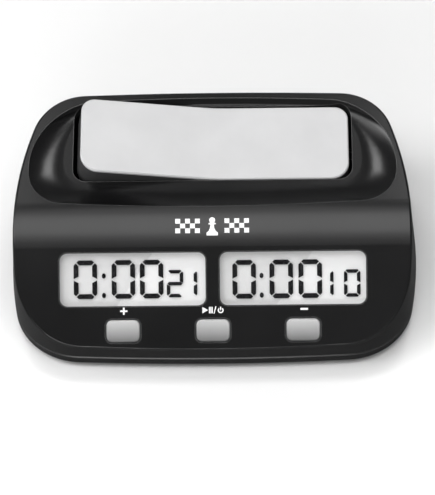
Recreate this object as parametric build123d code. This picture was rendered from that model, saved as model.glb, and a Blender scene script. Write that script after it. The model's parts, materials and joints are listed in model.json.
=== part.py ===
"""Digital chess clock: black two-part case, tilting grey rocker, three keys and two displays."""
from build123d import *
from collections import namedtuple
from math import atan2, cos, hypot, pi, radians, sin, sqrt, tan
import os

# Case
FOOT_HEIGHT = 1.5
PARTING_Z = 6.4
CROWN_Z = 45.0
WALL = 2.2
FLOOR = 2.0
LIP_GAP = 0.1
LIP_THICKNESS = 1.2
LIP_HEIGHT = 2.0
BOTTOM_ROUND = 2.0
RIM_ROUND = 0.9
PARTING_BEVEL = 0.35
OVERCUT = 1.0
REACH = 80.0

# Sloping panel and top
PANEL_SLOPE = 35.0
TOP_SLOPE = 8.0
PANEL_FOOT_Y = -47.76
PANEL_FOOT_Z = 11.5
PANEL_LENGTH = 46.3
RIDGE_RADIUS = 36.0

# Outline of eight tangent arcs: limits along Y, half width, place of the widest point and the radii
Oval = namedtuple("Oval", "front back half_width widest front_r front_corner side_r back_corner back_r")
BASE_OVAL = Oval(-47.2, 48.0, 73.9, -2.5, 1000.0, 24.9, 129.0, 23.8, 1500.0)
CROWN_OVAL = Oval(-46.3, 43.3, 70.9, -10.4, 1000.0, 24.0, 128.0, 19.3, 1500.0)

# Dish sunk in the top, measured along the top slope from the ridge line
DISH_DEPTH = 3.0
DISH_STEPS = 5
DISH_RIM = Oval(6.5, 51.0, 66.3, 22.5, 800.0, 13.0, 28.0, 20.0, 800.0)
DISH_FLOOR = Oval(15.5, 49.6, 54.0, 27.5, 800.0, 9.0, 30.0, 12.0, 800.0)
TRAY_MARGIN = 1.5
CREASE_ROUND = 0.15
CREASE_TOLERANCE = 0.2

# Rocker
ROCKER_S = 33.8
ROCKER_HALF_DEPTH = 14.75
ROCKER_ARM = 48.6
ROCKER_ANGLE = 5.0
ROCKER_HEIGHT = 12.0
ROCKER_WALL = 1.8
ROCKER_ROOF = 1.6
PLATE_THICKNESS = 1.2
PLATE_EDGE = 0.4
ROCKER_CORNER = 5.0
ROCKER_FRONT_CORNER = 6.5
ALONG = 0.9
KINK_RADIUS = 60.0
PIVOT_DEPTH = 8.0
PIN_RADIUS = 1.5
PIN_CLEARANCE = 0.05
OPENING_WIDTH = 101.0
OPENING_DEPTH = 30.4
OPENING_CORNER = 5.0
OPENING_CUT = 26.0
RIB_THICKNESS = 3.0
RIB_HALF_WIDTH = 6.0
WEB_THICKNESS = 2.0
PUSHER_X = 9.0
PUSHER_DROP = 4.0
PUSHER_WIDTH = 2.4

# Micro switches below the rocker
SWITCH_SIZE = (5.0, 12.8, 6.5)
SWITCH_TOP = -13.2
SWITCH_AIR = 0.07
PLUNGER_SIZE = (2.0, 3.0, 4.2)
SLIDE_GAP = 0.05
CARRIER_THICKNESS = 1.6
CARRIER_HALF_WIDTH = 24.0
CARRIER_FRONT = -21.4
CARRIER_BACK = 12.0
TONGUE_HALF_WIDTH = 5.0
TONGUE_BACK = 17.0
CARRIER_SCREW = (19.0, -18.4)
CARRIER_PILOT = 5.0
GUIDE_WALL = 1.0
GUIDE_HEIGHT = 2.0
TERMINAL_HALF = (1.0, 0.8)
TERMINAL_LENGTH = 1.5

# Displays in the panel, measured up the slope from the panel's lower edge
WINDOW_X = 28.6
WINDOW_W = 26.15
WINDOW_SIZE = (52.1, 18.9)
WINDOW_CORNER = 2.8
WINDOW_BEVEL = 0.3
LENS_FRONT = -0.95
LENS_THICKNESS = 1.2
LENS_MARGIN = 1.2
FRAME_TOP = -2.2
FRAME_LIP = 0.4
FRAME_WALL = 1.0
GLASS_LIMITS = (14.2, 37.2)
GLASS_WIDTH = 55.0
GLASS_THICKNESS = 1.1
REFLECTOR_THICKNESS = 0.3
ZEBRA_WIDTH = 1.9
ZEBRA_MARGIN = 2.0

# Keys
KEY_X = (-32.1, 0.0, 32.1)
KEY_NAMES = ("plus", "play", "minus")
KEY_W = 7.75
KEY_SIZE = (11.85, 7.8)
KEY_CORNER = 2.0
KEY_GAP = 0.25
KEY_PROUD = 0.6
KEY_BEVEL = 0.35
KEY_RIM_BEVEL = 0.25
KEY_TRAVEL = 0.6
FLANGE_MARGIN = 1.0
FLANGE_TOP = -2.4
FLANGE_THICKNESS = 0.8
STEM_TOP = -3.6
STEM_RADIUS = 1.5
STEM_BOSS_RADIUS = 2.0
KEY_SWITCH_SIZE = 6.0
KEY_SWITCH_TOP = -4.6

# Circuit board
PCB_TOP = -6.6
PCB_THICKNESS = 1.2
PCB_HALF_WIDTH = 57.0
PCB_LIMITS = (3.8, 44.5)
PCB_CORNER = 3.0
PCB_SCREWS = ((-16.05, 7.75), (16.05, 7.75), (-50.0, 41.6), (50.0, 41.6))
PCB_PILOT = 3.0
SMALL_SCREW_RADIUS = 1.0
SMALL_BOSS_RADIUS = 2.5
SMALL_HEAD_RADIUS = 2.0
SMALL_HEAD_HEIGHT = 1.4

# Case screws and feet
CASE_SCREWS = ((62.7, -28.0), (54.5, 33.0))
CASE_BOSS_RADIUS = 3.0
CASE_COLUMN_RADIUS = 3.8
COLUMN_TOP = 7.0
SCREW_SEAT = 4.8
SCREW_RADIUS = 1.2
SCREW_END = 14.5
HEAD_RADIUS = 2.5
HEAD_HEIGHT = 1.7
RECESS_REACH = 0.55
RECESS_WIDTH = 0.2
FEET = {"front": (52.0, -35.5), "back": (45.0, 38.0)}
FOOT_RADIUS = 5.0
FOOT_SINK = 0.5
FOOT_BEVEL = 0.4

# Battery bay
BAY_Y = -6.0
BAY_HALF_LENGTH = 28.2
BAY_WALL = 1.6
CELL_RADIUS = 7.25
CELL_LENGTH = 50.5
CELL_ROUND = 0.6
CELL_NUB = (2.75, 1.3)
CELL_GAP = 0.3
CELL_Z = 11.0
CONTACT_THICKNESS = 0.4
CONTACT_HALF = 4.5
TAB_HALF = 1.5
TAB_TOP = 22.0
SPRING_WIRE = 0.35
SPRING_TURNS = 3
SPRING_NARROWING = 1.6
SPRING_CORNERS = 8
DOOR_GAP = 0.2
HINGE_RADIUS = 1.0
HINGE_PIN_RADIUS = 0.6
HINGE_PIN_LENGTH = 1.2
NOTCH_RADIUS = 5.0
NOTCH_DEPTH = 0.8

# Beeper
PIEZO_PLACE = (45.0, 8.0)
PIEZO_RADIUS = 10.0
CERAMIC_RADIUS = 7.0
PIEZO_SEAT_Z = 5.0
PIEZO_THICKNESS = 0.3
PIEZO_LEDGE = 1.0
CERAMIC_THICKNESS = 0.25
SOUND_HOLE_RADIUS = 0.9
SOUND_HOLE_RING = 4.5
SOUND_HOLES = 6

# Wires and small parts
LEAD_RADIUS = 0.6
LEAD_DEPTH = -15.0
BEND_SHARE = 0.45
CONTACT_STUB = 3.0
BOARD_STUB = 4.0
BATTERY_LEAD_W = 38.0
SWITCH_LEAD_RUN = 13.0
SWITCH_LEAD_W = 42.0
BUZZER_LEAD_HALF_GAP = 2.0
BUZZER_LEAD_RUN = (0.5, 24.0)
BUZZER_LEAD_RISE = 1.5
BUZZER_LEAD_W = 12.0
BLOB_W = 22.0
BLOB_RADIUS = 6.0
BLOB_HEIGHT = 2.2
CAN_PLACE = (18.0, 24.0)
CAN_RADIUS = 1.55
CAN_LENGTH = 8.2
CAPACITOR_PLACE = (-40.0, 33.0)
CAPACITOR_RADIUS = 2.5
CAPACITOR_HEIGHT = 5.0
CHIP_HALF = (1.0, 0.6)
CHIP_HEIGHT = 0.6
CHIP_X = (-18.0, -13.0, 10.0, 14.0)
CHIP_W = (12.0, 15.0, 18.0)

# Detent of the rocker
NOSE_RADIUS = 1.0
NOSE_DROP = 4.5
DETENT_HALF = 5.2
DETENT_STRIP = 0.3
DETENT_WIDTH = 4.0

SLOPE = radians(PANEL_SLOPE)
CLIMB = radians(TOP_SLOPE)
RIDGE = (PANEL_FOOT_Y + PANEL_LENGTH * cos(SLOPE), PANEL_FOOT_Z + PANEL_LENGTH * sin(SLOPE))
panel = Plane((0, PANEL_FOOT_Y, PANEL_FOOT_Z), (1, 0, 0), (0, -sin(SLOPE), cos(SLOPE))).location
crown = Plane((0, *RIDGE), (1, 0, 0), (0, -sin(CLIMB), cos(CLIMB))).location
rocker_seat = crown * Pos(0, ROCKER_S, -DISH_DEPTH)
pivot = rocker_seat * Pos(0, 0, -PIVOT_DEPTH)
across = Rot(-90, 0, 0)


def block(x_limits, y_limits, z_limits):
    """Rectangular block between limits on each axis."""
    middle = [sum(limits) / 2 for limits in (x_limits, y_limits, z_limits)]
    size = [limits[1] - limits[0] for limits in (x_limits, y_limits, z_limits)]
    return Pos(*middle) * Box(*size)


def slab(size, corner, z_limits):
    """Rounded rectangular slab centred on the local origin."""
    return Pos(0, 0, z_limits[0]) * extrude(RectangleRounded(*size, corner), z_limits[1] - z_limits[0])


def rod(radius, z_limits):
    """Upright cylinder between two heights."""
    return Pos(0, 0, sum(z_limits) / 2) * Cylinder(radius, z_limits[1] - z_limits[0])


def blend(first, second, share):
    """Outline part of the way from one oval to another."""
    return Oval(*[a + (b - a) * share for a, b in zip(first, second)])


def corner_centre(first, first_r, second, second_r):
    """Right-hand crossing of two circles, where the centre of a corner arc lies."""
    gap_x = second[0] - first[0]
    gap_y = second[1] - first[1]
    gap = hypot(gap_x, gap_y)
    along = (first_r**2 - second_r**2 + gap**2) / (2 * gap)
    aside = sqrt(first_r**2 - along**2)
    foot = (first[0] + gap_x * along / gap, first[1] + gap_y * along / gap)
    crossings = [(foot[0] + side * gap_y * aside / gap, foot[1] - side * gap_x * aside / gap)
                 for side in (-1, 1)]
    return max(crossings)


def oval_wire(oval, inset=0.0):
    """Closed outline of eight tangent arcs, the same on both sides of the middle plane."""
    front = (0, oval.front + oval.front_r)
    back = (0, oval.back - oval.back_r)
    side = (oval.half_width - oval.side_r, oval.widest)
    front_corner = corner_centre(front, oval.front_r - oval.front_corner,
                                 side, oval.side_r - oval.front_corner)
    back_corner = corner_centre(back, oval.back_r - oval.back_corner,
                                side, oval.side_r - oval.back_corner)

    def bearing(start, end):
        return atan2(end[1] - start[1], end[0] - start[0])

    turns = [(front, oval.front_r, -pi / 2),
             (front_corner, oval.front_corner, bearing(front, front_corner)),
             (side, oval.side_r, bearing(side, front_corner)),
             (back_corner, oval.back_corner, bearing(side, back_corner)),
             (back, oval.back_r, bearing(back, back_corner))]
    ends = [turn[2] for turn in turns[1:]] + [pi / 2]

    def arc(turn, start, end, mirror):
        centre, radius, _ = turn
        reach = radius - inset
        points = [(mirror * (centre[0] + reach * cos(angle)), centre[1] + reach * sin(angle))
                  for angle in (start, (start + end) / 2, end)]
        return ThreePointArc(*(points if mirror > 0 else points[::-1]))

    front_end = ends[0]
    back_start = turns[4][2]
    edges = [arc(turns[0], -pi - front_end, front_end, 1)]
    edges += [arc(turns[i], turns[i][2], ends[i], 1) for i in (1, 2, 3)]
    edges.append(arc(turns[4], back_start, pi - back_start, 1))
    edges += [arc(turns[i], turns[i][2], ends[i], -1) for i in (3, 2, 1)]
    return Wire(edges)


def case_ring(z, inset):
    """Outline of the case at one height, moved inwards by an inset."""
    oval = blend(BASE_OVAL, CROWN_OVAL, max(z - PARTING_Z, 0) / (CROWN_Z - PARTING_Z))
    return Pos(0, 0, z) * oval_wire(oval, inset)


def case_block(inset, z_limits):
    """Solid with the leaning walls of the case between two heights."""
    return Solid.make_loft([case_ring(z, inset) for z in z_limits], ruled=True)


def seam_groove():
    """Ring that cuts the bevels on both sides of the seam between the shells."""
    heights = (PARTING_Z - PARTING_BEVEL, PARTING_Z, PARTING_Z + PARTING_BEVEL)
    insets = (0, PARTING_BEVEL, 0)
    rings = [case_ring(z, inset) for z, inset in zip(heights, insets)]
    core = Solid.make_loft(rings[:2], ruled=True) + Solid.make_loft(rings[1:], ruled=True)
    return case_block(-OVERCUT, (heights[0], heights[2])) - core


def roof_prism(drop):
    """Everything under the panel, ridge and top, each lowered by the same amount."""
    spread = 1 + cos(SLOPE - CLIMB)
    ridge_y = RIDGE[0] + drop * (sin(SLOPE) + sin(CLIMB)) / spread
    ridge_z = RIDGE[1] - drop * (cos(SLOPE) + cos(CLIMB)) / spread
    start = (ridge_y - (ridge_z - PARTING_Z) / tan(SLOPE), PARTING_Z)
    end = (REACH, ridge_z + (REACH - ridge_y) * tan(CLIMB))
    outline = Polyline(start, (ridge_y, ridge_z), end, (REACH, PARTING_Z), close=True)
    side = make_face(outline)
    corner = side.vertices().sort_by_distance((ridge_y, ridge_z, 0))[0]
    side = fillet(corner, RIDGE_RADIUS - drop)
    return extrude(Plane.YZ * side, REACH, both=True)


def dish_tool():
    """The sunk dish: a wall that curves down to a flat floor, and the space above it."""
    rings = []
    for step in range(DISH_STEPS):
        share = step / (DISH_STEPS - 1)
        depth = DISH_DEPTH * (1 - (1 - share) ** 2)
        rings.append(crown * Pos(0, 0, -depth) * oval_wire(blend(DISH_RIM, DISH_FLOOR, share)))
    basin = Solid.make_loft(rings)
    space = crown * extrude(make_face(oval_wire(DISH_RIM)), DISH_DEPTH)
    return [basin, space]


def mirrored(points):
    """The given places and their mirror images across the middle plane."""
    return [(side * x, y) for x, y in points for side in (-1, 1)]


def upper_bosses():
    """Posts, ribs and the tray under the dish that stand inside the upper shell."""
    tray = crown * Pos(0, 0, -DISH_DEPTH - WALL) * extrude(
        make_face(oval_wire(DISH_RIM, -TRAY_MARGIN)), 2 * DISH_DEPTH + WALL)
    posts = [Pos(x, y, 0) * rod(CASE_BOSS_RADIUS, (COLUMN_TOP, REACH)) for x, y in mirrored(CASE_SCREWS)]
    posts += [panel * Pos(x, w, 0) * rod(SMALL_BOSS_RADIUS, (PCB_TOP, 0)) for x, w in PCB_SCREWS]
    carrier_top = SWITCH_TOP - SWITCH_SIZE[2]
    posts += [rocker_seat * Pos(x, s, 0) * rod(CASE_BOSS_RADIUS, (carrier_top, 0))
              for x, s in mirrored([CARRIER_SCREW])]
    edge = OPENING_DEPTH / 2
    front_rib = block((-RIB_HALF_WIDTH, RIB_HALF_WIDTH), (-edge - RIB_THICKNESS, -edge),
                      (-PIVOT_DEPTH - 2 * PIN_RADIUS, 0))
    back_rib = block((-RIB_HALF_WIDTH, RIB_HALF_WIDTH), (edge, edge + 2 * RIB_THICKNESS),
                     (carrier_top - 2 * CARRIER_THICKNESS, 0))
    slot_half = TONGUE_HALF_WIDTH + SLIDE_GAP
    slot = block((-slot_half, slot_half), (edge, TONGUE_BACK + SLIDE_GAP),
                 (carrier_top - CARRIER_THICKNESS - SLIDE_GAP, carrier_top + SLIDE_GAP))
    return [tray, *posts, rocker_seat * front_rib, rocker_seat * (back_rib - slot)]


def panel_cuts():
    """Window and key openings in the sloping panel, and the pockets for the lenses."""
    cuts = []
    for x in (-WINDOW_X, WINDOW_X):
        place = panel * Pos(x, WINDOW_W, 0)
        cuts.append(place * slab(WINDOW_SIZE, WINDOW_CORNER, (LENS_FRONT, WALL)))
        cuts.append(place * opening_bevel(WINDOW_SIZE, WINDOW_CORNER, WINDOW_BEVEL))
        pocket = [size + 2 * LENS_MARGIN + 2 * SLIDE_GAP for size in WINDOW_SIZE]
        cuts.append(place * slab(pocket, WINDOW_CORNER, (-WALL, LENS_FRONT)))
    opening = [size + 2 * KEY_GAP for size in KEY_SIZE]
    corner = KEY_CORNER + KEY_GAP
    for x in KEY_X:
        place = panel * Pos(x, KEY_W, 0)
        cuts.append(place * slab(opening, corner, (-WALL, WALL)))
        cuts.append(place * opening_bevel(opening, corner, KEY_RIM_BEVEL))
    return cuts


def opening_bevel(size, corner, width):
    """Sloping rim round an opening in the panel."""
    rim = RectangleRounded(*[side + 2 * width for side in size], corner + width)
    return extrude(rim, -width, taper=45)


def soften_crease(body):
    """Round the sharp edge where the dish meets the top."""
    rim = crown * oval_wire(DISH_RIM)
    crease = [edge for edge in body.edges() if rim.distance_to(edge @ 0.5) < CREASE_TOLERANCE]
    return fillet(crease, CREASE_ROUND)


def upper_shell():
    """Case top with the panel, the dish, the rocker opening and the inner posts."""
    body = case_block(0, (PARTING_Z, REACH)) & roof_prism(0)
    rim = [edge for edge in body.edges()
           if edge.center().Z > PARTING_Z + OVERCUT and edge.geom_type != GeomType.LINE]
    body = fillet(rim, RIM_ROUND) - seam_groove()
    hollow = case_block(WALL, (PARTING_Z, REACH)) & roof_prism(WALL)
    for boss in upper_bosses():
        hollow -= boss
    body -= hollow
    for cut in dish_tool():
        body -= cut
    body = soften_crease(body)
    for cut in panel_cuts():
        body -= cut
    body -= rocker_seat * slab((OPENING_WIDTH, OPENING_DEPTH), OPENING_CORNER,
                               (-OPENING_CUT, DISH_DEPTH))
    body -= pivot_pin()
    for x, y in mirrored(CASE_SCREWS):
        body -= Pos(x, y, 0) * rod(SCREW_RADIUS, (COLUMN_TOP, SCREW_END))
    for x, w in PCB_SCREWS:
        body -= panel * Pos(x, w, 0) * rod(SMALL_SCREW_RADIUS, (PCB_TOP, PCB_TOP + PCB_PILOT))
    for x, s in mirrored([CARRIER_SCREW]):
        carrier_top = SWITCH_TOP - SWITCH_SIZE[2]
        body -= rocker_seat * Pos(x, s, carrier_top) * rod(SMALL_SCREW_RADIUS, (0, CARRIER_PILOT))
    return body


def lower_shell():
    """Case bottom with the locating lip, screw columns, battery bay and beeper seat."""
    body = case_block(0, (FOOT_HEIGHT, PARTING_Z))
    body = fillet(body.faces().sort_by(Axis.Z)[0].outer_wire().edges(), BOTTOM_ROUND)
    body -= seam_groove()
    floor_z = FOOT_HEIGHT + FLOOR
    body += case_block(WALL + LIP_GAP, (floor_z, PARTING_Z + LIP_HEIGHT))
    body -= case_block(WALL + LIP_GAP + LIP_THICKNESS, (floor_z, PARTING_Z + LIP_HEIGHT + OVERCUT))
    for x, y in mirrored(CASE_SCREWS):
        body += Pos(x, y, 0) * rod(CASE_COLUMN_RADIUS, (floor_z, COLUMN_TOP))
    half_depth = CELL_RADIUS + CELL_GAP
    roof_z = CELL_Z + half_depth
    outer_length = BAY_HALF_LENGTH + BAY_WALL
    outer_depth = half_depth + BAY_WALL
    body += block((-outer_length, outer_length), (BAY_Y - outer_depth, BAY_Y + outer_depth),
                  (floor_z, roof_z + BAY_WALL))
    body -= block((-BAY_HALF_LENGTH, BAY_HALF_LENGTH), (BAY_Y - half_depth, BAY_Y + half_depth),
                  (0, roof_z))
    tab_x = BAY_HALF_LENGTH - CONTACT_THICKNESS / 2
    tab_slot = Box(CONTACT_THICKNESS + DOOR_GAP, 2 * (TAB_HALF + DOOR_GAP), 4 * BAY_WALL)
    for x in (-tab_x, tab_x):
        body -= Pos(x, BAY_Y, roof_z) * tab_slot
    body -= Pos(0, hinge_place()[0], hinge_place()[1]) * Rot(0, 90, 0) * Cylinder(
        HINGE_PIN_RADIUS + PIN_CLEARANCE, 2 * (BAY_HALF_LENGTH + HINGE_PIN_LENGTH + DOOR_GAP))
    seat = rod(PIEZO_RADIUS + BAY_WALL, (floor_z, PIEZO_SEAT_Z + PIEZO_THICKNESS))
    seat -= rod(PIEZO_RADIUS + SLIDE_GAP, (PIEZO_SEAT_Z, PIEZO_SEAT_Z + OVERCUT))
    seat -= rod(PIEZO_RADIUS - PIEZO_LEDGE, (floor_z, PIEZO_SEAT_Z))
    body += Pos(*PIEZO_PLACE, 0) * seat
    holes = [Pos(0, 0)] + list(PolarLocations(SOUND_HOLE_RING, SOUND_HOLES))
    for hole in holes:
        body -= Pos(*PIEZO_PLACE, 0) * hole * rod(SOUND_HOLE_RADIUS, (0, floor_z))
    screw_well = rod(HEAD_RADIUS + DOOR_GAP, (0, SCREW_SEAT)) + rod(SCREW_RADIUS, (0, COLUMN_TOP))
    for x, y in mirrored(CASE_SCREWS):
        body -= Pos(x, y, 0) * screw_well
    for x, y in mirrored(FEET.values()):
        body -= Pos(x, y, 0) * rod(FOOT_RADIUS, (0, FOOT_HEIGHT + FOOT_SINK))
    return body


def hinge_place():
    """Y and Z of the battery door's hinge line."""
    return (BAY_Y - CELL_RADIUS - CELL_GAP + DOOR_GAP + HINGE_RADIUS, FOOT_HEIGHT + FLOOR / 2)


def rocker_outline(top_drop, depth, shorten=0.0):
    """Side view of the rocker seen along its axis: a shallow V about the pivot, to one depth."""
    tilt = radians(ROCKER_ANGLE)
    arm = ROCKER_ARM - shorten

    def right_point(reach, drop):
        return (reach * cos(tilt) + drop * sin(tilt), kink_z() + reach * sin(tilt) - drop * cos(tilt))

    top = [(0, kink_z() - top_drop / cos(tilt)), right_point(arm, top_drop)]
    bottom = [right_point(arm, depth), (0, kink_z() - depth / cos(tilt))]
    left = [(-x, z) for x, z in (top[1], bottom[0])]
    outline = Polyline(top[0], top[1], bottom[0], bottom[1], left[1], left[0], close=True)
    return make_face(outline)


def kink_z():
    """Height of the rocker's kink above its pivot."""
    return PIVOT_DEPTH / cos(radians(ROCKER_ANGLE))


def rocker_block(top_drop, depth, inset=0.0):
    """Solid V-shaped rocker between two depths below its top, with the fold softened."""
    face = rocker_outline(top_drop, depth, inset)
    fold = [corner for corner in face.vertices() if abs(corner.X) < PLATE_EDGE]
    face = fillet(fold, KINK_RADIUS)
    half = ROCKER_HALF_DEPTH - inset
    solid = extrude(Plane.XZ * face, half, both=True)
    corners = [edge for edge in solid.edges() if abs(edge.tangent_at(0).Z) > ALONG]
    front = [edge for edge in corners if edge.center().Y < 0]
    back = [edge for edge in corners if edge.center().Y > 0]
    solid = fillet(front, ROCKER_FRONT_CORNER - inset)
    return fillet(refound(solid, back), ROCKER_CORNER - inset)


def refound(solid, edges):
    """The edges of a changed solid that lie where the given edges were."""
    places = [edge.center() for edge in edges]

    def shift(edge):
        return min((edge.center() - place).length for place in places)

    return [edge for edge in solid.edges()
            if shift(edge) < PLATE_EDGE and abs(edge.tangent_at(0).Z) > ALONG]


def rest_pose(shape):
    """Place a rocker part with its right half pressed down."""
    return pivot * Rot(0, ROCKER_ANGLE, 0) * shape


def rocker_body():
    """Black rocker shell with the bearing holes and the web that carries the pushers."""
    body = rocker_block(PLATE_THICKNESS, ROCKER_HEIGHT)
    body -= rocker_block(PLATE_THICKNESS + ROCKER_ROOF, ROCKER_HEIGHT + 1, ROCKER_WALL)
    half_web = WEB_THICKNESS / 2
    web = block((-PUSHER_X - PUSHER_WIDTH / 2, PUSHER_X + PUSHER_WIDTH / 2), (-half_web, half_web),
                (0, PIVOT_DEPTH - PLATE_THICKNESS - ROCKER_ROOF / 2))
    web += Rot(90, 0, 0) * Cylinder(2 * PIN_RADIUS, WEB_THICKNESS)
    web += block((-NOSE_RADIUS, NOSE_RADIUS), (-half_web, half_web), (-NOSE_DROP, 0))
    web += Pos(0, 0, -NOSE_DROP) * Rot(90, 0, 0) * Cylinder(NOSE_RADIUS, WEB_THICKNESS)
    tip = PUSHER_WIDTH / 2
    pusher = block((-tip, tip), (-half_web, half_web), (tip - PUSHER_DROP, tip))
    pusher += Pos(0, 0, tip - PUSHER_DROP) * across * Cylinder(tip, WEB_THICKNESS)
    for x in (-PUSHER_X, PUSHER_X):
        web += Pos(x, 0, 0) * pusher
    body += web
    cheek = ROCKER_HALF_DEPTH - ROCKER_WALL
    for side in (-1, 1):
        body += Pos(0, side * (cheek - half_web), 0) * across * Cylinder(2 * PIN_RADIUS, WEB_THICKNESS)
        body += block((-PIN_RADIUS, PIN_RADIUS), sorted((side * (cheek - WEB_THICKNESS), side * cheek)),
                      (0, PIVOT_DEPTH - PLATE_THICKNESS - ROCKER_ROOF / 2))
    body -= across * Cylinder(PIN_RADIUS + PIN_CLEARANCE, 4 * ROCKER_HALF_DEPTH)
    return rest_pose(body)


def rocker_plate():
    """Light grey cap on top of the rocker, with its upper edge bevelled."""
    plate = rocker_block(0, PLATE_THICKNESS)
    upper = [edge for edge in plate.edges() if edge.center().Z > edge_height(edge.center().X)]
    rim = [edge for edge in upper
           if abs(edge.tangent_at(0.5).Y) < ALONG or abs(edge.center().X) > ROCKER_ARM / 2]
    return rest_pose(chamfer(rim, PLATE_EDGE))


def edge_height(x):
    """Height of the middle of the rocker's plate at a distance along the rocker."""
    tilt = radians(ROCKER_ANGLE)
    return kink_z() + abs(x) * tan(tilt) - PLATE_THICKNESS / 2 / cos(tilt)


def pivot_pin():
    """Steel pin that the rocker turns on."""
    front = -OPENING_DEPTH / 2 - RIB_THICKNESS
    return pivot * across * rod(PIN_RADIUS, (front, OPENING_DEPTH / 2 + OVERCUT))


def switch_carrier():
    """Plate below the rocker that holds the micro switches and keeps the pin in."""
    top = SWITCH_TOP - SWITCH_SIZE[2]
    z_limits = (top - CARRIER_THICKNESS, top)
    plate = block((-CARRIER_HALF_WIDTH, CARRIER_HALF_WIDTH), (CARRIER_FRONT, CARRIER_BACK), z_limits)
    plate += block((-TONGUE_HALF_WIDTH, TONGUE_HALF_WIDTH), (CARRIER_BACK, TONGUE_BACK), z_limits)
    rib_front = -OPENING_DEPTH / 2 - RIB_THICKNESS
    plate += block((-RIB_HALF_WIDTH / 2, RIB_HALF_WIDTH / 2), (rib_front - CARRIER_THICKNESS, rib_front),
                   (top, -PIVOT_DEPTH + 2 * PIN_RADIUS))
    for x, s in mirrored([CARRIER_SCREW]):
        plate -= Pos(x, s, 0) * rod(SMALL_SCREW_RADIUS, z_limits)
    for x in (-PUSHER_X, PUSHER_X):
        plate += Pos(x, 0, 0) * switch_guide(top)
    return rocker_seat * plate


def switch_guide(base):
    """Low wall round three sides of a micro switch."""
    wide, deep, _ = SWITCH_SIZE
    outer_x = wide / 2 + GUIDE_WALL
    outer_y = deep / 2 + GUIDE_WALL
    wall = block((-outer_x, outer_x), (-outer_y, outer_y), (base, base + GUIDE_HEIGHT))
    return wall - block((-wide / 2, wide / 2), (-outer_y, deep / 2), (base, base + GUIDE_HEIGHT))


def screw(radius, head_radius, head_height, length):
    """Pan-head screw pointing up from its head, with a cross recess below."""
    body = rod(radius, (0, length)) + rod(head_radius, (-head_height, 0))
    reach = head_radius * RECESS_REACH
    half = radius * RECESS_WIDTH
    slot = block((-reach, reach), (-half, half), (-head_height, -head_height / 2))
    return body - slot - Rot(0, 0, 90) * slot


def case_screws():
    """Four screws that close the case from below."""
    one = screw(SCREW_RADIUS, HEAD_RADIUS, HEAD_HEIGHT, SCREW_END - SCREW_SEAT)
    return [Pos(x, y, SCREW_SEAT) * one for x, y in mirrored(CASE_SCREWS)]


def pcb_screws():
    """Four screws that hold the circuit board to the panel posts."""
    one = screw(SMALL_SCREW_RADIUS, SMALL_HEAD_RADIUS, SMALL_HEAD_HEIGHT, PCB_THICKNESS + PCB_PILOT)
    return [panel * Pos(x, w, PCB_TOP - PCB_THICKNESS) * one for x, w in PCB_SCREWS]


def carrier_screws():
    """Two screws that hold the switch carrier."""
    one = screw(SMALL_SCREW_RADIUS, SMALL_HEAD_RADIUS, SMALL_HEAD_HEIGHT,
                CARRIER_THICKNESS + CARRIER_PILOT)
    seat = SWITCH_TOP - SWITCH_SIZE[2] - CARRIER_THICKNESS
    return [rocker_seat * Pos(x, s, seat) * one for x, s in mirrored([CARRIER_SCREW])]


def plunger_top(side):
    """Height of a micro-switch plunger at rest: the right one is pressed, the left one is free."""
    tilt = radians(ROCKER_ANGLE)
    return -PIVOT_DEPTH - side * PUSHER_X * sin(tilt) - PUSHER_DROP * cos(tilt) - SWITCH_AIR


def micro_switch(side):
    """Small switch body with a well for its plunger and a terminal on its front face."""
    wide, deep, high = SWITCH_SIZE
    body = block((-wide / 2, wide / 2), (-deep / 2, deep / 2), (SWITCH_TOP - high, SWITCH_TOP))
    lowest = plunger_top(1) - PLUNGER_SIZE[2]
    body -= block((-PLUNGER_SIZE[0] / 2 - SLIDE_GAP, PLUNGER_SIZE[0] / 2 + SLIDE_GAP),
                  (-PLUNGER_SIZE[1] / 2 - SLIDE_GAP, PLUNGER_SIZE[1] / 2 + SLIDE_GAP),
                  (lowest - SLIDE_GAP, SWITCH_TOP))
    half_width, half_height = TERMINAL_HALF
    body += block((-half_width, half_width), (-deep / 2 - TERMINAL_LENGTH, -deep / 2),
                  (LEAD_DEPTH - half_height, LEAD_DEPTH + half_height))
    return rocker_seat * Pos(side * PUSHER_X, 0, 0) * body


def switch_plunger(side):
    """Plunger of one micro switch."""
    wide, deep, high = PLUNGER_SIZE
    top = plunger_top(side)
    body = block((-wide / 2, wide / 2), (-deep / 2, deep / 2), (top - high, top))
    return rocker_seat * Pos(side * PUSHER_X, 0, 0) * body


def detent_spring():
    """Bent steel strip on the carrier that clicks against the rocker's nose."""
    base = SWITCH_TOP - SWITCH_SIZE[2]
    peak = -PIVOT_DEPTH - NOSE_DROP - NOSE_RADIUS - SWITCH_AIR - DETENT_STRIP
    foot_level = base + DETENT_STRIP / 2
    rise = [(DETENT_HALF, foot_level), (DETENT_HALF / 2, foot_level), (NOSE_RADIUS, peak)]
    outline = Polyline(*[(-x, z) for x, z in rise], *rise[::-1])
    strip = make_face(offset(outline, DETENT_STRIP / 2, side=Side.BOTH))
    return rocker_seat * extrude(Plane.XZ * strip, DETENT_WIDTH / 2, both=True)


def lens(x):
    """Clear window of one display."""
    size = [side + 2 * LENS_MARGIN for side in WINDOW_SIZE]
    z_limits = (LENS_FRONT - LENS_THICKNESS, LENS_FRONT)
    return panel * Pos(x, WINDOW_W, 0) * slab(size, WINDOW_CORNER, z_limits)


def display_frame(x):
    """Plastic frame that holds one display between the panel and the board."""
    low, high = GLASS_LIMITS
    half = GLASS_WIDTH / 2
    pocket_top = FRAME_TOP - FRAME_LIP
    body = block((-half - FRAME_WALL, half + FRAME_WALL), (low - FRAME_WALL, high + FRAME_WALL),
                 (PCB_TOP, FRAME_TOP))
    body -= block((-half, half), (low, high), (PCB_TOP, pocket_top))
    body -= Pos(0, WINDOW_W, 0) * slab([size + 2 * FRAME_LIP for size in WINDOW_SIZE], WINDOW_CORNER,
                                       (pocket_top, FRAME_TOP))
    return panel * Pos(x, 0, 0) * body


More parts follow.
